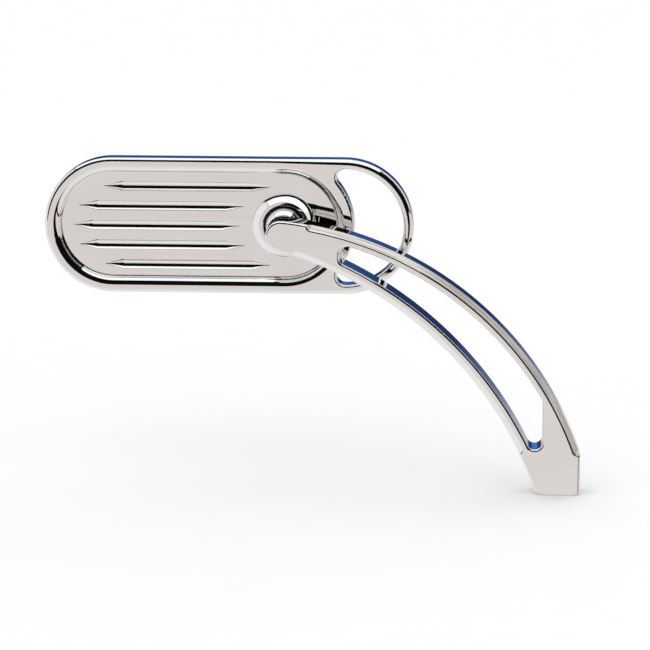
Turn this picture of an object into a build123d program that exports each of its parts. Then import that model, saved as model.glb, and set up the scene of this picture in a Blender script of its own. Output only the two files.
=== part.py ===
"""Billet motorcycle mirror: an arched, slotted stem, a ball joint and an oblong mirror head.

Frame: the origin is the mouth of the mounting thread, at the centre of the stem's base. +Z is up, +X runs
towards the inboard side, the glass faces +Y and the milled back of the head faces -Y. Millimetres.
"""

import math
import os

from build123d import *

# Stem plate
plate_thickness = 12.7
stud_reach = 111.2
stud_rise = 104.15
end_radius = 6.1
upper_arc_radius = 141.0
lower_arc_radius = 155.0
base_half_width = 8.8
shoulder_height = 15.6
edge_round = 0.9

# Slot through the stem
upper_bar = 4.5
lower_bar = 4.6
slot_start = 23.4
slot_wall = 6.4
slot_start_round = 3.4
slot_heel_round = 2.0
slot_corner_round = 1.2
slot_foot_round = 3.1
slot_edge_round = 0.9

# Bevels along the stem's outer edges
bevel = 2.2
bevel_start = 12.4
bevel_stop = 18.4
bevel_crest_round = 0.9
bevel_crest_angle = 4.0

# Mounting thread and the turned foot around it
thread_radius = 3.4
thread_depth = 16.0
thread_chamfer = 0.3
foot_radius = 8.6
foot_chamfer_angle = 30.0

# Ball joint
ball_radius = 8.7
ball_end_flat = 3.0
neck_radius = 5.6
neck_waist_radius = 4.7
shank_radius = 4.0
shank_length = 9.0
shank_room = 0.5
shank_chamfer = 0.6
neck_length = 4.5
liner_thickness = 0.35
joint_clearance = 0.15
thread_clearance = 0.05
front_liner_angles = (66.0, 84.0)
rear_liner_angles = (112.0, 136.0)

# Mirror head, outline and levels
stem_gap = 7.85
head_radius = 27.55
outer_arm = 69.3
loop_offset = 24.55
loop_rim = 3.9
loop_web_radius = 28.3
loop_thickness = 8.2
loop_corner_round = 3.6
loop_edge_round = 1.0
loop_outer_round = 2.1
loop_round_run = 30.0
rim_edge_round = 1.4
pod_inset = 1.4
pod_taper_angle = 7.0
pod_edge_round = 0.5

# Recessed floor, its rounded rim and its grooves
recess_depth = 3.4
floor_radius = 21.1
rim_roll = 3.3
groove_count = 5
groove_spacing = 8.0
groove_length = 67.4
groove_ramp = 7.6
groove_width = 3.9
groove_depth = 0.95
groove_tip_reach = 16.2
groove_tip_margin = 0.45
groove_drop = 0.3

# Collar round the ball's mouth
collar_base_radius = 12.85
collar_top_radius = 10.0
collar_height = 2.8
mouth_radius = 8.4
mouth_flare = 0.45

# Clamp behind the ball
clamp_seat = 3.5
clamp_plate_radius = 17.0
clamp_plate_thickness = 3.5
clamp_pocket_clearance = 0.25
clamp_screw_count = 4
clamp_screw_circle = 13.2
clamp_screw_start = 45.0
screw_radius = 1.45
screw_engagement = 3.8
screw_tip_room = 0.4
screw_hole_clearance = 0.2
screw_head_radius = 2.8
screw_head_height = 1.6
screw_head_round = 0.5
screw_socket_flats = 2.0
screw_socket_depth = 1.0
spring_washer_radius = 2.9
spring_washer_thickness = 0.7

# Glass
glass_radius = 23.0
glass_thickness = 2.0
glass_edge = 0.4
glass_clearance = 0.25
glass_sink = 0.4
pad_thickness = 1.2
pad_inset = 1.5
pad_window_margin = 1.2
clamp_head_room = 0.3

os.makedirs("parts", exist_ok=True)


def circle_crossing(p, p_radius, q, q_radius):
    """Return the lower of the two points at p_radius from p and q_radius from q."""
    span = math.dist(p, q)
    along = (p_radius**2 - q_radius**2 + span**2) / (2 * span)
    across = math.sqrt(p_radius**2 - along**2)
    unit = ((q[0] - p[0]) / span, (q[1] - p[1]) / span)
    base = (p[0] + unit[0] * along, p[1] + unit[1] * along)
    options = [(base[0] - s * unit[1] * across, base[1] + s * unit[0] * across) for s in (-1, 1)]
    return min(options, key=lambda point: point[1])


def point_on(centre, radius, towards):
    """Return the point at radius from centre, in the direction of another point."""
    share = radius / math.dist(centre, towards)
    return tuple(c + (t - c) * share for c, t in zip(centre, towards))


def point_at(centre, radius, angle):
    turn = math.radians(angle)
    return (centre[0] + radius * math.cos(turn), centre[1] + radius * math.sin(turn))


def angle_at_height(centre, radius, height):
    return math.degrees(math.asin((height - centre[1]) / radius))


def angle_at_x(centre, radius, x):
    return math.degrees(math.acos((x - centre[0]) / radius))


# Places that several pieces share, in the XZ plane of the stem
over = 1.0
half_plate = plate_thickness / 2
loop_x = loop_offset - stud_reach
stud = (-stud_reach, stud_rise)
shoulder = (base_half_width, shoulder_height)
heel = (-base_half_width, 0.0)
upper_centre = circle_crossing(stud, upper_arc_radius - end_radius, shoulder, upper_arc_radius)
lower_centre = circle_crossing(stud, lower_arc_radius + end_radius, heel, lower_arc_radius)

# Levels along Y, from the stem to the glass
liner_inner = ball_radius + joint_clearance
liner_outer = liner_inner + liner_thickness
cavity_radius = liner_outer + joint_clearance
rim_y = half_plate + stem_gap
floor_y = rim_y + recess_depth
collar_y = floor_y - collar_height
lip_y = collar_y + mouth_flare
ball_y = lip_y + math.sqrt(cavity_radius**2 - mouth_radius**2)
clamp_y = ball_y + clamp_seat
washer_y = clamp_y + clamp_plate_thickness
screw_head_y = washer_y + spring_washer_thickness
glass_y = screw_head_y + screw_head_height + clamp_head_room
pad_y = glass_y - pad_thickness
rear_y = glass_y + glass_thickness + glass_sink
loop_back_y = rim_y + loop_thickness


def level(y):
    """Return the plane at depth y that faces the glass side, with its origin on the stud's axis."""
    return Plane(origin=(stud[0], y, stud[1]), x_dir=(1, 0, 0), z_dir=(0, 1, 0))


def stadium(radius):
    """Draw the oblong between the head's outer arc centre and the stud's axis."""
    with Locations((-outer_arm / 2, 0)):
        SlotCenterToCenter(outer_arm, 2 * radius)


def on_cavity(y):
    """Return the point of the socket's sphere at y from the ball's centre."""
    return (math.sqrt(cavity_radius**2 - y**2), y)


def corner_points(side, radius):
    """Return the corner that a round takes off the head's front edge: local X is up, local Y rearward."""
    outer = side * head_radius
    inner = outer - side * radius
    beyond = outer + side * over
    return [(inner, 0), (inner, -over), (beyond, -over), (beyond, radius), (outer, radius)]


def corner_arc(side, radius):
    """Return the end, middle and start of that round."""
    outer = side * head_radius
    turn = radius * (1 - math.sqrt(0.5))
    return [(outer, radius), (outer - side * turn, turn), (outer - side * radius, 0)]


def liner_points(radius, angles):
    """Return start, middle and end of an arc about the ball, with angles measured from the stem's side."""
    turns = [math.radians(a) for a in (angles[0], sum(angles) / 2, angles[1])]
    return [(radius * math.sin(t), -radius * math.cos(t)) for t in turns]


# Section plane through the stud's axis: local X is the radius, local Y runs towards the glass from the ball
section_plane = Plane(origin=(stud[0], ball_y, stud[1]), x_dir=(1, 0, 0), z_dir=(0, 0, 1))
stud_axis = Axis((stud[0], ball_y, stud[1]), (0, 1, 0))

# Stem: the arched plate, its bevels, slot, foot and two threads
upper_start = point_on(upper_centre, upper_arc_radius, stud)
lower_start = point_on(lower_centre, lower_arc_radius, stud)
end_point = (stud[0] - end_radius, stud[1])
toe = (base_half_width, 0.0)
bevel_runs = (
    (upper_centre, upper_arc_radius, -1, stud[0] + bevel_start),
    (lower_centre, lower_arc_radius, 1, stud[0] + bevel_start / 2),
)
slot_left = stud[0] + slot_start
slot_sides = ((upper_centre, upper_arc_radius - upper_bar), (lower_centre, lower_arc_radius + lower_bar))
slot_top, slot_low = (point_at(c, r, angle_at_x(c, r, slot_left))[1] for c, r in slot_sides)

# The two rounds at the slot's upper end take three quarters of its height at most
slot_ease = min(1, 0.75 * (slot_top - slot_low) / (slot_start_round + slot_heel_round))


# Outline of the bevel's cutter: depth in from the plate's edge, and distance from the plate's middle
crest_depth = bevel + bevel_crest_round * math.tan(math.radians(22.5))
crest_height = half_plate - bevel_crest_round * math.cos(math.radians(bevel_crest_angle))
bevel_crest = [
    (crest_depth - bevel_crest_round * math.sin(t), crest_height + bevel_crest_round * math.cos(t))
    for t in (0, math.pi / 8, math.pi / 4)
]


def cutter_lines(reach):
    """Return the straight sides of the cutter, which runs out past the plate's edge by reach."""
    top = half_plate + over
    low = half_plate - bevel - reach
    return [bevel_crest[2], (-reach, low), (-reach, top), (crest_depth, top), bevel_crest[0]]


foot_reach = base_half_width + plate_thickness
foot_rise = (foot_reach - foot_radius) * math.tan(math.radians(foot_chamfer_angle))

with BuildPart() as stem:
    with BuildSketch(Plane.XZ):
        with BuildLine():
            RadiusArc(shoulder, upper_start, -upper_arc_radius)
            ThreePointArc(upper_start, end_point, lower_start)
            RadiusArc(lower_start, heel, lower_arc_radius)
            Line(heel, toe)
            Line(toe, shoulder)
        make_face()
    extrude(amount=half_plate, both=True)
    flats = stem.faces().filter_by(Axis.Y)
    fillet(flats.edges().filter_by(lambda e: e.center().Z > edge_round), edge_round)

    for centre, radius, inward, start_x in bevel_runs:
        low = angle_at_height(centre, radius, bevel_stop)
        high = angle_at_x(centre, radius, start_x)
        for side in (-1, 1):
            for turn, pivot, reach, spin, sweep in (
                (low, centre, over, -1, high - low),
                (low, point_at(centre, radius, low), 0, inward, 180),
                (high, point_at(centre, radius, high), 0, -inward, 180),
            ):
                edge = point_at(centre, radius, turn)
                radial = (edge[0] - centre[0], 0, edge[1] - centre[1])
                along = (radial[2], 0, -radial[0])
                with BuildSketch(Plane(origin=(edge[0], 0, edge[1]), x_dir=radial, z_dir=along)):
                    with BuildLine():
                        Polyline(*[(inward * depth, side * y) for depth, y in cutter_lines(reach)])
                        ThreePointArc(*[(inward * depth, side * y) for depth, y in bevel_crest])
                    make_face()
                axis = Axis((pivot[0], 0, pivot[1]), (0, spin, 0))
                revolve(axis=axis, revolution_arc=sweep, mode=Mode.SUBTRACT)

    with BuildSketch(Plane.XZ) as slot:
        with Locations(upper_centre):
            Circle(upper_arc_radius - upper_bar)
        with Locations(lower_centre):
            Circle(lower_arc_radius + lower_bar, mode=Mode.SUBTRACT)
        with Locations(((slot_left - slot_wall) / 2, stud_rise / 2)):
            Rectangle(-slot_wall - slot_left, stud_rise, mode=Mode.INTERSECT)
        fillet(slot.vertices().group_by(Axis.X)[-1].sort_by(Axis.Y)[-1], slot_corner_round)
        fillet(slot.vertices().sort_by(Axis.Y)[0], slot_foot_round)
        fillet(slot.vertices().sort_by(Axis.Y)[-1], slot_ease * slot_start_round)
        fillet(slot.vertices().sort_by(Axis.X)[0], slot_ease * slot_heel_round)
    extrude(amount=half_plate, both=True, mode=Mode.SUBTRACT)
    slot_rims = [wire for face in stem.faces().filter_by(Axis.Y) for wire in face.inner_wires()]
    fillet([edge for wire in slot_rims for edge in wire.edges()], slot_edge_round)

    with BuildSketch(Plane.XZ):
        with BuildLine():
            Polyline((foot_radius, 0), (foot_reach, 0), (foot_reach, foot_rise), close=True)
        make_face()
    revolve(axis=Axis.Z, mode=Mode.SUBTRACT)
    with BuildSketch(Plane.XY):
        Circle(thread_radius)
    extrude(amount=thread_depth, mode=Mode.SUBTRACT)
    with BuildSketch(level(half_plate)):
        Circle(shank_radius + thread_clearance)
    extrude(amount=-shank_length - shank_room, mode=Mode.SUBTRACT)
    mouth = stem.faces().sort_by(Axis.Z)[0].inner_wires().edges()
    chamfer(mouth, thread_chamfer)

stem.part.label = "stem"
export_step(stem.part, "parts/stem.step")

# Ball stud: shank, shouldered neck and ball, turned about one axis
seat_y = half_plate - ball_y
neck_end = -math.sqrt(ball_radius**2 - neck_waist_radius**2)
ball_end = math.sqrt(ball_radius**2 - ball_end_flat**2)

with BuildPart() as ball_stud:
    with BuildSketch(section_plane):
        with BuildLine():
            Polyline(
                (0, ball_end),
                (0, seat_y - shank_length),
                (shank_radius - shank_chamfer, seat_y - shank_length),
                (shank_radius, seat_y - shank_length + shank_chamfer),
                (shank_radius, seat_y),
                (neck_radius, seat_y),
                (neck_radius, seat_y + neck_length),
                (neck_waist_radius, neck_end),
            )
            ThreePointArc((neck_waist_radius, neck_end), (ball_radius, 0), (ball_end_flat, ball_end))
            Line((ball_end_flat, ball_end), (0, ball_end))
        make_face()
    revolve(axis=stud_axis)

ball_stud.part.label = "ball_stud"
export_step(ball_stud.part, "parts/ball_stud.step")

# Linings: two spherical rings that share the ball's centre
with BuildPart() as front_liner:
    with BuildSketch(section_plane):
        with BuildLine():
            inner = ThreePointArc(*liner_points(liner_inner, front_liner_angles))
            outer = ThreePointArc(*liner_points(liner_outer, front_liner_angles))
            Line(inner @ 0, outer @ 0)
            Line(inner @ 1, outer @ 1)
        make_face()
    revolve(axis=stud_axis)

front_liner.part.label = "front_liner"
export_step(front_liner.part, "parts/front_liner.step")

with BuildPart() as rear_liner:
    with BuildSketch(section_plane):
        with BuildLine():
            inner = ThreePointArc(*liner_points(liner_inner, rear_liner_angles))
            outer = ThreePointArc(*liner_points(liner_outer, rear_liner_angles))
            Line(inner @ 0, outer @ 0)
            Line(inner @ 1, outer @ 1)
        make_face()
    revolve(axis=stud_axis)

rear_liner.part.label = "rear_liner"
export_step(rear_liner.part, "parts/rear_liner.step")

# Mirror head: rim slab with the loop, pod for the glass, recessed floor, collar, socket and grooves
collar_base = floor_y - ball_y
collar_top = collar_y - ball_y
lip = lip_y - ball_y
screw_depth = screw_engagement + screw_tip_room
groove_centre_z = stud[1] - groove_drop
groove_radius = (groove_width**2 / 4 + groove_depth**2) / (2 * groove_depth)
groove_centre_y = floor_y - groove_radius + groove_depth
groove_tip_span = (groove_count - 1) / 2 * groove_spacing + groove_tip_margin
pocket_radius = clamp_plate_radius + clamp_pocket_clearance

with BuildPart() as mirror_head:
    with BuildSketch(level(rim_y)):
        with Locations(((loop_offset - outer_arm) / 2, 0)):
            SlotCenterToCenter(outer_arm + loop_offset, 2 * head_radius)
    extrude(amount=loop_thickness)
    fillet(mirror_head.faces().filter_by(Axis.Y).edges(), rim_edge_round)

    # Softer outer edge on the loop, fading out along the straight sides
    edge_plane = Plane(origin=(loop_x, rim_y, stud[1]), x_dir=(0, 0, 1), z_dir=(-1, 0, 0))
    for side in (-1, 1):
        with BuildSketch(edge_plane) as loop_corner:
            with BuildLine():
                Polyline(*corner_points(side, loop_outer_round))
                ThreePointArc(*corner_arc(side, loop_outer_round))
            make_face()
        revolve(axis=Axis((loop_x, rim_y, stud[1]), (0, side, 0)), revolution_arc=90, mode=Mode.SUBTRACT)
        with BuildSketch(edge_plane.offset(loop_round_run), mode=Mode.PRIVATE) as faded_corner:
            with BuildLine():
                Polyline(*corner_points(side, rim_edge_round))
                ThreePointArc(*corner_arc(side, rim_edge_round))
            make_face()
        loft(sections=[loop_corner.sketch.face(), faded_corner.sketch.face()], mode=Mode.SUBTRACT)

    before = mirror_head.edges()
    with BuildSketch(level(rim_y)) as loop_hole:
        with Locations((loop_offset, 0)):
            Circle(head_radius - loop_rim)
        Circle(loop_web_radius, mode=Mode.SUBTRACT)
        fillet(loop_hole.vertices(), loop_corner_round)
    extrude(amount=loop_thickness, mode=Mode.SUBTRACT)
    hole_rims = mirror_head.faces().filter_by(Axis.Y).edges() - before
    fillet(hole_rims, loop_edge_round)

    before = mirror_head.edges()
    with BuildSketch(level(rim_y)):
        stadium(floor_radius)
    extrude(amount=recess_depth, mode=Mode.SUBTRACT)
    recess_rim = (mirror_head.edges() - before).group_by(Axis.Y)[0]
    fillet(recess_rim, rim_roll)

    with BuildSketch(level(loop_back_y)):
        stadium(head_radius - pod_inset)
    extrude(amount=rear_y - loop_back_y, taper=pod_taper_angle)
    fillet(mirror_head.faces().sort_by(Axis.Y)[-1].edges(), pod_edge_round)

    with BuildSketch(section_plane):
        with BuildLine():
            Polyline(
                (0, collar_top),
                (collar_top_radius, collar_top),
                (collar_base_radius, collar_base),
                (collar_base_radius, collar_base + over),
                (0, collar_base + over),
                close=True,
            )
        make_face()
    revolve(axis=stud_axis)

    with BuildSketch(section_plane):
        with BuildLine():
            Polyline(
                (cavity_radius, 0),
                (cavity_radius, clamp_seat),
                (0, clamp_seat),
                (0, collar_top),
                (mouth_radius + mouth_flare, collar_top),
                (mouth_radius, lip),
            )
            ThreePointArc((mouth_radius, lip), on_cavity(lip / 2), (cavity_radius, 0))
        make_face()
    revolve(axis=stud_axis, mode=Mode.SUBTRACT)

    with BuildSketch(level(clamp_y)):
        Circle(pocket_radius)
    extrude(amount=rear_y - clamp_y, mode=Mode.SUBTRACT)
    with BuildSketch(level(pad_y)):
        stadium(glass_radius + glass_clearance)
    extrude(amount=rear_y - pad_y, mode=Mode.SUBTRACT)
    with BuildSketch(level(clamp_y)):
        with PolarLocations(clamp_screw_circle, clamp_screw_count, start_angle=clamp_screw_start):
            Circle(screw_radius + thread_clearance)
    extrude(amount=-screw_depth, mode=Mode.SUBTRACT)

    for index in range(groove_count):
        offset = (index - (groove_count - 1) / 2) * groove_spacing
        tip_x = stud[0] - outer_arm - groove_tip_reach * math.sqrt(1 - (offset / groove_tip_span) ** 2)
        far_x = tip_x + groove_length
        near = Plane(origin=(tip_x + groove_ramp, groove_centre_y, groove_centre_z + offset), z_dir=(1, 0, 0))
        far = Plane(origin=(far_x - groove_ramp, groove_centre_y, groove_centre_z + offset), z_dir=(1, 0, 0))
        with BuildSketch(near) as near_disc:
            Circle(groove_radius)
        extrude(amount=groove_length - 2 * groove_ramp, mode=Mode.SUBTRACT)
        near_tip = Vertex(tip_x, floor_y, groove_centre_z + offset)
        loft(sections=[near_tip, near_disc.sketch.face()], ruled=True, mode=Mode.SUBTRACT)
        with BuildSketch(far, mode=Mode.PRIVATE) as far_disc:
            Circle(groove_radius)
        far_tip = Vertex(far_x, floor_y, groove_centre_z + offset)
        loft(sections=[far_disc.sketch.face(), far_tip], ruled=True, mode=Mode.SUBTRACT)

mirror_head.part.label = "mirror_head"
export_step(mirror_head.part, "parts/mirror_head.step")

# Clamp plate: a ring dished to the lining's outer sphere
dish_end = clamp_seat + clamp_plate_thickness

with BuildPart() as clamp_plate:
    with BuildSketch(section_plane):
        with BuildLine():
            ThreePointArc(on_cavity(dish_end), on_cavity((clamp_seat + dish_end) / 2), on_cavity(clamp_seat))
            Polyline(
                on_cavity(clamp_seat),
                (clamp_plate_radius, clamp_seat),
                (clamp_plate_radius, dish_end),
                on_cavity(dish_end),
            )
        make_face()
    revolve(axis=stud_axis)
    with BuildSketch(level(clamp_y)):
        with PolarLocations(clamp_screw_circle, clamp_screw_count, start_angle=clamp_screw_start):
            Circle(screw_radius + screw_hole_clearance)
    extrude(amount=clamp_plate_thickness, mode=Mode.SUBTRACT)

clamp_plate.part.label = "clamp_plate"
export_step(clamp_plate.part, "parts/clamp_plate.step")

# Spring washers, one under each screw head
with BuildPart() as spring_washers:
    with BuildSketch(level(washer_y)):
        with PolarLocations(clamp_screw_circle, clamp_screw_count, start_angle=clamp_screw_start):
            Circle(spring_washer_radius)
            Circle(screw_radius + screw_hole_clearance, mode=Mode.SUBTRACT)
    extrude(amount=spring_washer_thickness)

spring_washers.part.label = "spring_washers"
export_step(spring_washers.part, "parts/spring_washers.step")

# Clamp screws with hexagon sockets
with BuildPart() as clamp_screws:
    with BuildSketch(level(screw_head_y)):
        with PolarLocations(clamp_screw_circle, clamp_screw_count, start_angle=clamp_screw_start):
            Circle(screw_head_radius)
    extrude(amount=screw_head_height)
    fillet(clamp_screws.faces().sort_by(Axis.Y)[-clamp_screw_count:].edges(), screw_head_round)
    with BuildSketch(level(screw_head_y)):
        with PolarLocations(clamp_screw_circle, clamp_screw_count, start_angle=clamp_screw_start):
            Circle(screw_radius)
    extrude(amount=clamp_y - screw_engagement - screw_head_y)
    with BuildSketch(level(screw_head_y + screw_head_height)):
        with PolarLocations(clamp_screw_circle, clamp_screw_count, start_angle=clamp_screw_start):
            RegularPolygon(screw_socket_flats / 2, 6, major_radius=False)
    extrude(amount=-screw_socket_depth, mode=Mode.SUBTRACT)

clamp_screws.part.label = "clamp_screws"
export_step(clamp_screws.part, "parts/clamp_screws.step")

# Foam pad, with a window for the clamp
with BuildPart() as glass_pad:
    with BuildSketch(level(pad_y)):
        stadium(glass_radius - pad_inset)
        Circle(pocket_radius + pad_window_margin, mode=Mode.SUBTRACT)
    extrude(amount=pad_thickness)

glass_pad.part.label = "glass_pad"
export_step(glass_pad.part, "parts/glass_pad.step")

# Mirror glass
with BuildPart() as mirror_glass:
    with BuildSketch(level(glass_y)):
        stadium(glass_radius)
    extrude(amount=glass_thickness)
    chamfer(mirror_glass.faces().sort_by(Axis.Y)[-1].edges(), glass_edge)

mirror_glass.part.label = "mirror_glass"
export_step(mirror_glass.part, "parts/mirror_glass.step")
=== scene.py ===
import math

import bpy
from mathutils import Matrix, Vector

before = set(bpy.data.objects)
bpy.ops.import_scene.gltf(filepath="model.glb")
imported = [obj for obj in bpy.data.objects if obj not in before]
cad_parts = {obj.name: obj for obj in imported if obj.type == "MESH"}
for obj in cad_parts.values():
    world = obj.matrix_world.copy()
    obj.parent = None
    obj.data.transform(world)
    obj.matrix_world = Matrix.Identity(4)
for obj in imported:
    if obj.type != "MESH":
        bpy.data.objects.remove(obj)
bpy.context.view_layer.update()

DEGREES = 180.0 / math.pi

# Camera, at the photograph's viewing angle
TARGET = Vector((-0.0938, 0.0, 0.06716))
AZIMUTH = math.radians(3.3)
ELEVATION = math.radians(12.5)
DISTANCE = 1.2
SENSOR = 36.0
LENS = SENSOR * 3000.0 / 650.0

# Stem, in metres: half its thickness, its upper bevel, and the slot's two long walls with their edge round.
# An arc is its centre in X and Z, its radius and the side of the metal.
# A wall is an arc and its two ends in X.
HALF_PLATE = 0.00635
BEVEL = 0.0022
BEVEL_ARC = (-0.124594, -0.030083, 0.1410, -1.0)
BEVEL_ENDS = ((0.00781, 0.0184), (-0.0988, 0.10854))
SLOT_WALLS = (
    (-0.124594, -0.030083, 0.1365, -1.0, -0.0834, -0.0066),
    (-0.155234, -0.050815, 0.1596, 1.0, -0.0867, -0.0123),
)
SLOT_ROUND = 0.0009

# Satin on the bevel: the heights it starts and stops at, in metres, and how softly, the scales of its tool
# lines across and along the bevel, its two tones, what it adds to the roughness and what it takes from the
# metallic value
SATIN_LEVELS = (0.00004, 0.00194)
SATIN_SOFT = 0.00003
TOOL_LINES = (2600.0, 4.0)
SATIN_DARK = (0.38, 0.34, 0.30, 1.0)
SATIN_LIGHT = (0.72, 0.68, 0.64, 1.0)
SATIN_ROUGHER = 0.22
SATIN_LESS_METALLIC = 0.70

# Collar round the ball, in metres: its axis in X and Z, its top and base radii, its base's place in Y and its
# height
COLLAR = (-0.1112, 0.10415)
COLLAR_RADII = (0.0100, 0.01285)
COLLAR_BASE = 0.01760
COLLAR_HEIGHT = 0.0028

# The collar's lower left is shaded as a cone of 33 degrees: where that starts and stops, in degrees round
# the axis, how softly, and the outward and forward parts of the cone's normal
BUFFED_ANGLES = (150.0, 300.0)
BUFFED_SOFT = 9.0
BUFFED_NORMAL = (0.545, 0.839)

# Tolerances that tell the surface of a finish from its neighbours, in metres
CONE_MISS = (0.00006, 0.00012)
CONE_MARGIN = 0.0001
BEVEL_MISS = (0.00004, 0.00010)
ROUND_MISS = (0.00014, 0.00020)
ROUND_START = (-0.00004, 0.0)
ROUND_ENDS = 0.0001

# Radii of eased edges, in metres
CHROME_EASE = 0.00025
STEM_EASE = 0.0002
SMALL_EASE = 0.0001

# Chrome: its mean colour, its dull and bright tones, and its roughness from dull to bright
CHROME = (0.88, 0.875, 0.87)
CHROME_DULL = (0.862, 0.853, 0.846, 1.0)
CHROME_BRIGHT = (0.892, 0.888, 0.885, 1.0)
CHROME_ROUGHNESS = (0.012, 0.030)

# Parts of a noise's range that are stretched over a finish
NARROW = (0.35, 0.65)
BROAD = (0.3, 0.7)

# Studio cards: where each fades in or out, as elevation or azimuth in degrees or as a part of the ray's
# direction. WARM_SLOPE leans the warm wall's edge, STRIP_BOW bends the strip lamp, and the blue ramp starts
# BLUE_BELOW degrees under the horizon.
TABLE_FADE = (-40.0, -8.0)
TABLE_EDGE = (-8.9, -8.4)
LEFT_WALL = (-54.0, -50.0)
RIGHT_START = (5.0, 6.0)
RIGHT_BOTTOM = (-22.8, -22.0)
WARM_SLOPE = 1.2
WARM_START = (50.0, 53.0)
WARM_BOTTOM = (-19.6, -19.0)
WARM_TOP = (2.5, 3.5)
STRIP_SIDE = (0.30, 0.34)
STRIP_BOTTOM = (3.0, 6.0)
STRIP_BOW = (0.160, 0.056)
STRIP_WIDTH = (-0.135, -0.100)
STRIP_SOFT = 0.003
STRIP_WHITE = (25.5, 27.0)
STRIP_WALL = (0.0, 0.04)
BLUE_BELOW = 9.0
BLUE_SPAN = 23.0
BACK_START = (0.60, 0.70)
BACK_TABLE = (-10.0, -9.0)

# Overhead softbox, on a plane at height 1: its depth in Y, its width in X and the frame on its left, with the
# softness of their edges, and the lowest rays that reach that plane
SOFTBOX_DEPTH = (-0.84, 1.0)
SOFTBOX_WIDTH = (-1.0, 0.70)
SOFTBOX_SOFT = 0.02
SOFTBOX_FRAME = (-1.06, -1.0)
FRAME_SOFT = 0.01
SOFTBOX_START = (0.0, 0.02)
LOWEST_RAY = 0.001

# Light on matt surfaces, and the background that the camera sees
FILL = (0.90, 0.90, 0.90, 1.0)
BACKGROUND = (1.0, 1.0, 1.0, 1.0)

# Floor, in metres, and the lamp
FLOOR_HALF = 6.0
FLOOR_DROP = 0.0004
FLOOR_DARK = (0.93, 0.93, 0.93, 1.0)
FLOOR_LIGHT = (0.95, 0.95, 0.95, 1.0)
LAMP_SPREAD = math.radians(70.0)
LAMP_ENERGY = 0.6
LAMP_TILT = (math.radians(12.0), math.radians(-14.0), 0.0)


def linear(c):
    c = c / 255.0
    return c / 12.92 if c <= 0.04045 else ((c + 0.055) / 1.055) ** 2.4


def seen(r, g, b):
    """Light that the chrome shows as these 0-255 display values."""
    return (linear(r) / CHROME[0], linear(g) / CHROME[1], linear(b) / CHROME[2], 1.0)


def tones(*stops):
    """Stops of a colour ramp, from positions and the display values seen there."""
    return [(position, seen(*colour)) for position, *colour in stops]


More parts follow.
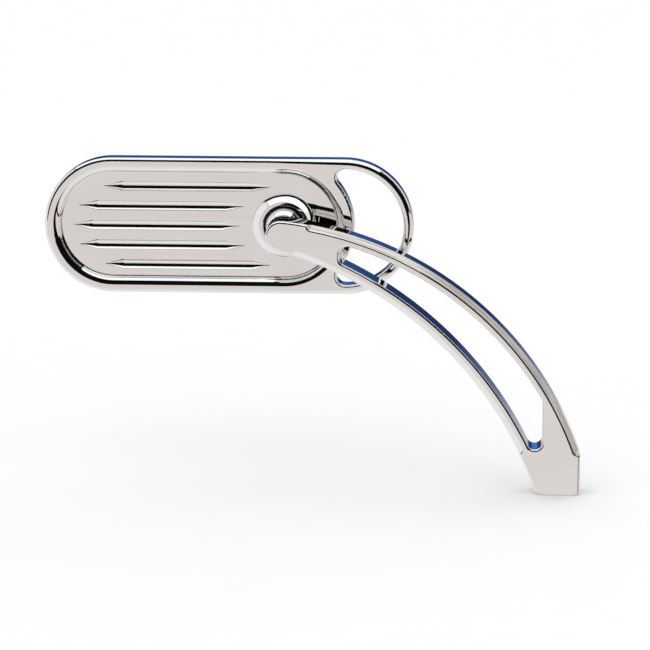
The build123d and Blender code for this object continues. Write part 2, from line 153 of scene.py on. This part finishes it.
class Tree:
    """Short helper for node trees."""

    def __init__(self, owner):
        owner.use_nodes = True
        self.nt = owner.node_tree
        self.nt.nodes.clear()

    def add(self, kind, **settings):
        node = self.nt.nodes.new(kind)
        for key, value in settings.items():
            setattr(node, key, value)
        return node

    def put(self, socket, value):
        if isinstance(value, bpy.types.NodeSocket):
            self.nt.links.new(value, socket)
        else:
            socket.default_value = value

    def math(self, op, a, b=0.0, clamp=False):
        node = self.add("ShaderNodeMath", operation=op, use_clamp=clamp)
        self.put(node.inputs[0], a)
        self.put(node.inputs[1], b)
        return node.outputs[0]

    def plus(self, a, b):
        return self.math("ADD", a, b)

    def minus(self, a, b):
        return self.math("SUBTRACT", a, b)

    def times(self, first, *others):
        for other in others:
            first = self.math("MULTIPLY", first, other)
        return first

    def flip(self, value):
        return self.minus(1.0, value)

    def hypotenuse(self, a, b):
        return self.math("SQRT", self.plus(self.math("POWER", a, 2.0), self.math("POWER", b, 2.0)))

    def smooth(self, value, low, high, to_low=0.0, to_high=1.0):
        node = self.add("ShaderNodeMapRange", interpolation_type="SMOOTHSTEP", clamp=True)
        self.put(node.inputs["Value"], value)
        self.put(node.inputs["From Min"], low)
        self.put(node.inputs["From Max"], high)
        node.inputs["To Min"].default_value = to_low
        node.inputs["To Max"].default_value = to_high
        return node.outputs["Result"]

    def until(self, value, low, high):
        """1 below low and 0 above high."""
        return self.flip(self.smooth(value, low, high))

    def window(self, value, low, high, soft):
        """1 between low and high, with soft edges."""
        rise = self.smooth(value, low - soft, low + soft)
        return self.times(rise, self.until(value, high - soft, high + soft))

    def close_to(self, value, target, low, high):
        """1 within low of the target and 0 beyond high."""
        return self.until(self.math("ABSOLUTE", self.minus(value, target)), low, high)

    def mix(self, factor, a, b):
        """Mix of two colours."""
        node = self.add("ShaderNodeMix", data_type="RGBA")
        self.put(node.inputs[0], factor)
        self.put(node.inputs[6], a)
        self.put(node.inputs[7], b)
        return node.outputs[2]

    def blend(self, factor, a, b):
        """Mix of two vectors."""
        node = self.add("ShaderNodeMix", data_type="VECTOR")
        self.put(node.inputs[0], factor)
        self.put(node.inputs[4], a)
        self.put(node.inputs[5], b)
        return node.outputs[1]

    def ramp(self, value, stops):
        node = self.add("ShaderNodeValToRGB")
        ramp = node.color_ramp
        ramp.elements[0].position, ramp.elements[0].color = stops[0]
        ramp.elements[1].position, ramp.elements[1].color = stops[-1]
        for position, colour in stops[1:-1]:
            ramp.elements.new(position).color = colour
        self.put(node.inputs[0], value)
        return node.outputs[0]

    def noise(self, vector, scale, detail=2.0, roughness=0.5):
        node = self.add("ShaderNodeTexNoise")
        self.put(node.inputs["Vector"], vector)
        node.inputs["Scale"].default_value = scale
        node.inputs["Detail"].default_value = detail
        node.inputs["Roughness"].default_value = roughness
        return node.outputs["Fac"]

    def stretch(self, vector, x, y, z):
        node = self.add("ShaderNodeVectorMath", operation="MULTIPLY")
        self.put(node.inputs[0], vector)
        node.inputs[1].default_value = (x, y, z)
        return node.outputs[0]

    def combine(self, x, y, z):
        node = self.add("ShaderNodeCombineXYZ")
        for socket, value in zip(node.inputs, (x, y, z)):
            self.put(socket, value)
        return node.outputs[0]

    def split(self, vector):
        node = self.add("ShaderNodeSeparateXYZ")
        self.put(node.inputs[0], vector)
        return node.outputs

    def object_coords(self):
        return self.add("ShaderNodeTexCoord").outputs["Object"]

    def bump(self, height, distance, strength, normal=None):
        node = self.add("ShaderNodeBump")
        self.put(node.inputs["Height"], height)
        node.inputs["Distance"].default_value = distance
        node.inputs["Strength"].default_value = strength
        if normal is not None:
            self.put(node.inputs["Normal"], normal)
        return node.outputs["Normal"]

    def rounded(self, radius):
        """Normal of the surface with its edges eased."""
        node = self.add("ShaderNodeBevel", samples=8)
        node.inputs["Radius"].default_value = radius
        return node.outputs["Normal"]

    def to_world(self, normal):
        """A normal in the object's own space, turned with the object."""
        node = self.add("ShaderNodeVectorTransform", vector_type="NORMAL")
        node.convert_from = "OBJECT"
        node.convert_to = "WORLD"
        self.put(node.inputs[0], normal)
        return node.outputs[0]

    def surface(self, colour, metallic, roughness, normal=None):
        shader = self.add("ShaderNodeBsdfPrincipled")
        self.put(shader.inputs["Base Color"], colour)
        self.put(shader.inputs["Metallic"], metallic)
        self.put(shader.inputs["Roughness"], roughness)
        if normal is not None:
            self.put(shader.inputs["Normal"], normal)
        out = self.add("ShaderNodeOutputMaterial")
        self.put(out.inputs["Surface"], shader.outputs[0])


class Axis:
    """An axis along Y, at cx and cz, and where a point x, z of a surface lies from it."""

    def __init__(self, tree, x, z, cx, cz):
        self.tree = tree
        self.x = tree.minus(x, cx)
        self.z = tree.minus(z, cz)
        self.away = tree.hypotenuse(self.x, self.z)

    def bearing(self):
        return self.tree.math("ARCTAN2", self.z, self.x)

    def normal(self, outward, forward):
        """Normal that leans away from the axis."""
        t = self.tree
        lean = t.math("DIVIDE", outward, self.away)
        return t.to_world(t.combine(t.times(self.x, lean), forward, t.times(self.z, lean)))


def new_finish(name):
    material = bpy.data.materials.new(name)
    return material, Tree(material)


def polish(t):
    """Colour and roughness of polished chrome, with faint haze and long polishing streaks."""
    coords = t.object_coords()
    haze = t.noise(coords, scale=60.0, detail=4.0)
    streaks = t.noise(t.stretch(coords, 12.0, 300.0, 700.0), scale=1.0, detail=3.0)
    tone = t.plus(t.times(haze, 0.5), t.times(streaks, 0.5))
    colour = t.mix(t.smooth(tone, *NARROW), CHROME_DULL, CHROME_BRIGHT)
    return colour, t.smooth(tone, *NARROW, *CHROME_ROUGHNESS)


def chrome(name):
    """Polished chrome with eased edges."""
    material, t = new_finish(name)
    colour, roughness = polish(t)
    t.surface(colour, 1.0, roughness, t.rounded(CHROME_EASE))
    return material


def head_chrome(name):
    """Polished chrome, with the collar's cone buffed shallower on its lower left."""
    material, t = new_finish(name)
    colour, roughness = polish(t)
    x, y, z = t.split(t.object_coords())
    axis = Axis(t, x, z, *COLLAR)

    # On the cone, where the distance from the axis and the height agree
    top, base = COLLAR_RADII
    rise = t.minus(COLLAR_BASE, y)
    radius_at_base = t.plus(axis.away, t.times(rise, (base - top) / COLLAR_HEIGHT))
    on_cone = t.close_to(radius_at_base, base, *CONE_MISS)
    heights = t.window(rise, CONE_MARGIN, COLLAR_HEIGHT - CONE_MARGIN, 0.5 * CONE_MARGIN)

    # On its lower left, by the angle from 0 to 360 degrees
    turn = t.times(axis.bearing(), DEGREES)
    around = t.plus(turn, t.times(t.math("LESS_THAN", turn, 0.0), 360.0))
    lower = t.window(around, *BUFFED_ANGLES, BUFFED_SOFT)

    outward, forward = BUFFED_NORMAL
    buffed = axis.normal(outward, -forward)
    normal = t.blend(t.times(t.times(on_cone, heights), lower), t.rounded(CHROME_EASE), buffed)
    t.surface(colour, 1.0, roughness, normal)
    return material


def stem_chrome(name):
    """Polished chrome with satin, tool-lined bevels along the stem's upper edges, and smooth slot edges."""
    material, t = new_finish(name)
    colour, roughness = polish(t)
    x, y, z = t.split(t.object_coords())
    off_middle = t.math("ABSOLUTE", y)

    # Bevel: the cone along the arc, and the half cone at either end of it
    cx, cz, radius, side = BEVEL_ARC
    arc = Axis(t, x, z, cx, cz)
    level = t.minus(off_middle, HALF_PLATE - BEVEL)
    depths = [t.times(t.minus(arc.away, radius), side)]
    depths += [Axis(t, x, z, *end).away for end in BEVEL_ENDS]
    misses = [t.math("ABSOLUTE", t.minus(level, depth)) for depth in depths]
    miss = t.math("MINIMUM", t.math("MINIMUM", misses[0], misses[1]), misses[2])
    bevel = t.times(t.until(miss, *BEVEL_MISS), t.window(level, *SATIN_LEVELS, SATIN_SOFT))
    across, along = TOOL_LINES
    lines = t.combine(t.times(level, across), t.times(arc.bearing(), along), 0.0)
    tool = t.noise(lines, scale=1.0, detail=4.0, roughness=0.6)
    lined = t.mix(t.smooth(tool, 0.40, 0.54), SATIN_DARK, SATIN_LIGHT)
    colour = t.mix(bevel, colour, lined)
    roughness = t.plus(roughness, t.times(bevel, SATIN_ROUGHER))
    metallic = t.flip(t.times(bevel, SATIN_LESS_METALLIC))

    # Slot edges: the normal of the round itself
    normal = t.rounded(STEM_EASE)
    for cx, cz, radius, side, start, stop in SLOT_WALLS:
        axis = Axis(t, x, z, cx, cz)
        out = t.minus(axis.away, radius - side * SLOT_ROUND)
        up = t.minus(off_middle, HALF_PLATE - SLOT_ROUND)
        near = t.close_to(t.hypotenuse(out, up), SLOT_ROUND, *ROUND_MISS)
        inside = t.times(near, t.smooth(up, *ROUND_START), t.smooth(t.times(out, side), *ROUND_START))
        inside = t.times(inside, t.window(x, start, stop, ROUND_ENDS))
        normal = t.blend(inside, normal, axis.normal(out, t.times(up, t.math("SIGN", y))))
    t.surface(colour, metallic, roughness, normal)
    return material


def nylon(name):
    """Black nylon with a fine matt grain."""
    material, t = new_finish(name)
    coords = t.object_coords()
    grain = t.noise(coords, scale=900.0, detail=4.0)
    cloud = t.noise(coords, scale=120.0)
    colour = t.mix(cloud, (0.010, 0.010, 0.011, 1.0), (0.020, 0.020, 0.021, 1.0))
    normal = t.bump(grain, distance=0.00003, strength=0.4)
    t.surface(colour, 0.0, t.smooth(grain, *BROAD, 0.38, 0.55), normal)
    return material


def zinc(name):
    """Zinc-plated steel with a cloudy bloom."""
    material, t = new_finish(name)
    coords = t.object_coords()
    bloom = t.noise(coords, scale=220.0, detail=5.0, roughness=0.65)
    grain = t.noise(coords, scale=1600.0)
    colour = t.mix(t.smooth(bloom, *NARROW), (0.50, 0.51, 0.53, 1.0), (0.66, 0.66, 0.65, 1.0))
    normal = t.bump(grain, distance=0.00001, strength=0.3, normal=t.rounded(SMALL_EASE))
    t.surface(colour, 1.0, t.smooth(bloom, *BROAD, 0.26, 0.42), normal)
    return material


def oxide(name):
    """Black-oxide steel, slightly mottled."""
    material, t = new_finish(name)
    mottle = t.noise(t.object_coords(), scale=500.0, detail=4.0, roughness=0.6)
    colour = t.mix(t.smooth(mottle, *BROAD), (0.030, 0.030, 0.032, 1.0), (0.075, 0.072, 0.070, 1.0))
    t.surface(colour, 1.0, t.smooth(mottle, *BROAD, 0.30, 0.45), t.rounded(SMALL_EASE))
    return material


def foam(name):
    """Black foam with open pores."""
    material, t = new_finish(name)
    cells = t.add("ShaderNodeTexVoronoi")
    t.put(cells.inputs["Vector"], t.object_coords())
    cells.inputs["Scale"].default_value = 1800.0
    pore = cells.outputs["Distance"]
    colour = t.mix(t.smooth(pore, 0.1, 0.6), (0.008, 0.008, 0.008, 1.0), (0.035, 0.035, 0.036, 1.0))
    t.surface(colour, 0.0, 0.9, t.bump(pore, distance=0.0002, strength=0.6))
    return material


def silvered(name):
    """Silvered glass: bright and faintly cool, with a green tone where the ground edge shows."""
    material, t = new_finish(name)
    face = t.math("ABSOLUTE", t.split(t.add("ShaderNodeNewGeometry").outputs["True Normal"])[1])
    flat = t.smooth(face, 0.80, 0.97)
    sheen = t.noise(t.object_coords(), scale=25.0, detail=3.0)
    bright = t.mix(sheen, (0.865, 0.890, 0.888, 1.0), (0.885, 0.905, 0.902, 1.0))
    colour = t.mix(flat, (0.30, 0.46, 0.42, 1.0), bright)
    t.surface(colour, 1.0, t.smooth(flat, 0.0, 1.0, 0.22, 0.008))
    return material


FINISHES = {
    "stem": stem_chrome("stem_chrome"),
    "mirror_head": head_chrome("head_chrome"),
    "ball_stud": chrome("stud_chrome"),
    "front_liner": nylon("liner_nylon"),
    "clamp_plate": zinc("clamp_zinc"),
    "clamp_screws": oxide("screw_oxide"),
    "glass_pad": foam("pad_foam"),
    "mirror_glass": silvered("silvered_glass"),
}
FINISHES["rear_liner"] = FINISHES["front_liner"]
FINISHES["spring_washers"] = FINISHES["clamp_plate"]
for name, finish in FINISHES.items():
    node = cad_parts[name]
    node.data.materials.clear()
    node.data.materials.append(finish)

# World: white for the camera, even soft light for matt surfaces, and a studio of cards for what metal
# reflects. Each card is laid over the ones before it.
world = bpy.data.worlds.new("studio")
bpy.context.scene.world = world
w = Tree(world)
dx, dy, dz = w.split(w.add("ShaderNodeTexCoord").outputs["Generated"])
elevation = w.times(w.math("ARCSINE", dz), DEGREES)
azimuth = w.times(w.math("ARCTAN2", dx, w.times(dy, -1.0)), DEGREES)

BLACK = (0.0035, 0.0045, 0.004, 1.0)
WHITE = (1.2, 1.2, 1.2, 1.0)
LIGHT = seen(229, 228, 228)
BEIGE = seen(216, 207, 197)
SEAM = seen(150, 140, 135)
TABLE = tones(
    (0.0, 226, 223, 223),
    (0.45, 217, 213, 210),
    (0.86, 216, 211, 208),
    (1.0, 212, 207, 204),
)
BLUE = tones(
    (0.0, 176, 178, 188),
    (0.2, 96, 106, 140),
    (0.42, 34, 50, 88),
    (0.66, 30, 50, 90),
    (0.84, 48, 80, 132),
    (0.93, 62, 104, 166),
    (1.0, 70, 114, 176),
)

# Front: a pale table below the camera and a dark room above it
table = w.ramp(w.smooth(elevation, *TABLE_FADE), TABLE)
cards = w.mix(w.smooth(elevation, *TABLE_EDGE), table, BLACK)

# Left: a light wall
cards = w.mix(w.until(azimuth, *LEFT_WALL), cards, LIGHT)

# Right: past the table's edge a dark gap, then a warm wall on a dark ledge, with the dark room above it
right = w.times(w.smooth(azimuth, *RIGHT_START), w.smooth(elevation, *RIGHT_BOTTOM))
slant = w.minus(azimuth, w.times(elevation, WARM_SLOPE))
wall = w.times(
    w.smooth(slant, *WARM_START), w.smooth(elevation, *WARM_BOTTOM), w.until(elevation, *WARM_TOP)
)
cards = w.mix(right, cards, BLACK)
cards = w.mix(w.times(right, wall), cards, BEIGE)

# Far right: a tall, bowed strip lamp beside the camera's plane, and a light wall behind it
tall = w.times(w.smooth(dx, *STRIP_SIDE), w.smooth(elevation, *STRIP_BOTTOM))
bow = w.minus(w.times(dz, STRIP_BOW[0]), w.times(dz, dz, STRIP_BOW[1]))
strip = w.times(tall, w.window(w.plus(dy, bow), *STRIP_WIDTH, STRIP_SOFT))
cards = w.mix(strip, cards, w.mix(w.smooth(elevation, *STRIP_WHITE), LIGHT, WHITE))
cards = w.mix(w.times(tall, w.smooth(dy, *STRIP_WALL)), cards, LIGHT)

# Back: a blue backdrop over the same table
blue = w.ramp(w.math("DIVIDE", w.plus(elevation, BLUE_BELOW), BLUE_SPAN, clamp=True), BLUE)
behind = w.smooth(dy, *BACK_START)
cards = w.mix(w.times(behind, w.smooth(elevation, *BACK_TABLE)), cards, blue)
cards = w.mix(w.times(behind, w.until(elevation, *BACK_TABLE)), cards, table)

# Overhead: a white softbox with a thin dark frame on its left
overhead = w.math("MAXIMUM", dz, LOWEST_RAY)
across = w.math("DIVIDE", dx, overhead)
along = w.math("DIVIDE", dy, overhead)
softbox = w.times(w.smooth(dz, *SOFTBOX_START), w.window(along, *SOFTBOX_DEPTH, SOFTBOX_SOFT))
cards = w.mix(w.times(softbox, w.window(across, *SOFTBOX_FRAME, FRAME_SOFT)), cards, SEAM)
cards = w.mix(w.times(softbox, w.window(across, *SOFTBOX_WIDTH, SOFTBOX_SOFT)), cards, WHITE)

path = w.add("ShaderNodeLightPath")
light = w.mix(path.outputs["Is Glossy Ray"], FILL, cards)
light = w.mix(path.outputs["Is Camera Ray"], light, BACKGROUND)
background = w.add("ShaderNodeBackground")
w.put(background.inputs["Color"], light)
w.put(w.add("ShaderNodeOutputWorld").inputs["Surface"], background.outputs[0])

# Floor: pale, under the base, with the object's soft shadow
corners = [(FLOOR_HALF * x, FLOOR_HALF * y, 0.0) for x, y in ((-1, -1), (1, -1), (1, 1), (-1, 1))]
floor_mesh = bpy.data.meshes.new("floor")
floor_mesh.from_pydata(corners, [], [(0, 1, 2, 3)])
floor = bpy.data.objects.new("floor", floor_mesh)
floor.location = (0.0, 0.0, -FLOOR_DROP)
bpy.context.collection.objects.link(floor)
floor_paint, paint = new_finish("floor_paint")
grain = paint.noise(paint.object_coords(), scale=40.0, detail=4.0)
paint.surface(paint.mix(grain, FLOOR_DARK, FLOOR_LIGHT), 0.0, 0.95)
floor_mesh.materials.append(floor_paint)
floor.visible_glossy = False

# One broad soft lamp overhead
lamp_data = bpy.data.lights.new("overhead", "SUN")
lamp_data.angle = LAMP_SPREAD
lamp_data.energy = LAMP_ENERGY
lamp = bpy.data.objects.new("overhead", lamp_data)
lamp.rotation_euler = LAMP_TILT
lamp.visible_glossy = False
bpy.context.collection.objects.link(lamp)

# Camera
camera_data = bpy.data.cameras.new("camera")
camera_data.lens = LENS
camera_data.sensor_width = SENSOR
camera_data.clip_start = 0.01
camera = bpy.data.objects.new("camera", camera_data)
bpy.context.collection.objects.link(camera)
back = Vector((
    math.sin(AZIMUTH) * math.cos(ELEVATION),
    -math.cos(AZIMUTH) * math.cos(ELEVATION),
    math.sin(ELEVATION),
))
camera.location = TARGET + back * DISTANCE
camera.rotation_euler = (-back).to_track_quat("-Z", "Y").to_euler()
bpy.context.scene.camera = camera
bpy.context.scene.view_settings.view_transform = "Standard"
